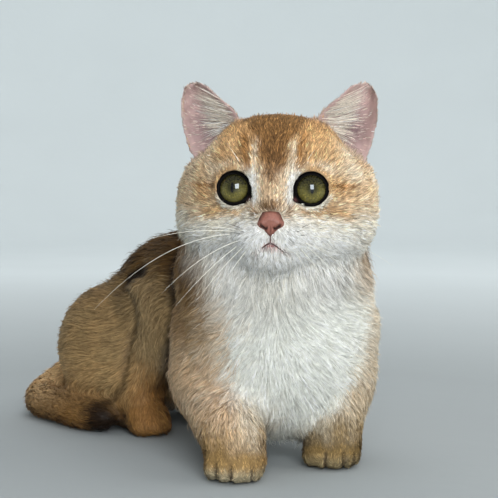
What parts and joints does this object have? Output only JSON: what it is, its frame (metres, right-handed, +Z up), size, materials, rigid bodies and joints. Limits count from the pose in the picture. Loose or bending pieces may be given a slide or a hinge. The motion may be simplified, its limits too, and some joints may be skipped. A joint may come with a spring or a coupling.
{
  "type": "sitting short-legged kitten model",
  "caption": "Life-size still model of a sitting short-legged golden kitten with a pale chest, round eyes, upright ears and a tail curled forward round its haunch",
  "frame": {"origin": "middle of the base, on the floor that the paws rest on", "axes": "+Z up, -Y the way the face looks, +X the kitten's left"},
  "size_m": [0.1936, 0.2162, 0.1838],
  "materials": {
    "golden_coat": "soft golden fur",
    "shaded_coat": "soft brown fur",
    "pale_coat": "soft white fur",
    "tail_tip_coat": "soft dark fur",
    "ear_lining": "thin skin with fine hair",
    "nose_leather": "moist skin",
    "eye_glass": "clear and wet"
  },
  "bodies": {
    "root": {"head": "golden_coat", "nose": "nose_leather", "eye_left": "eye_glass", "eye_right": "eye_glass", "ear_left": "ear_lining", "ear_right": "ear_lining", "neck": "pale_coat", "torso": "pale_coat", "foreleg_left": "golden_coat", "foreleg_right": "golden_coat", "forepaw_left": "golden_coat", "forepaw_right": "golden_coat", "haunch_left": "shaded_coat", "haunch_right": "shaded_coat", "hindpaw_left": "golden_coat", "hindpaw_right": "golden_coat", "tail_root": "shaded_coat", "tail_middle": "golden_coat", "tail_tip": "tail_tip_coat"}
  },
  "joints": []
}
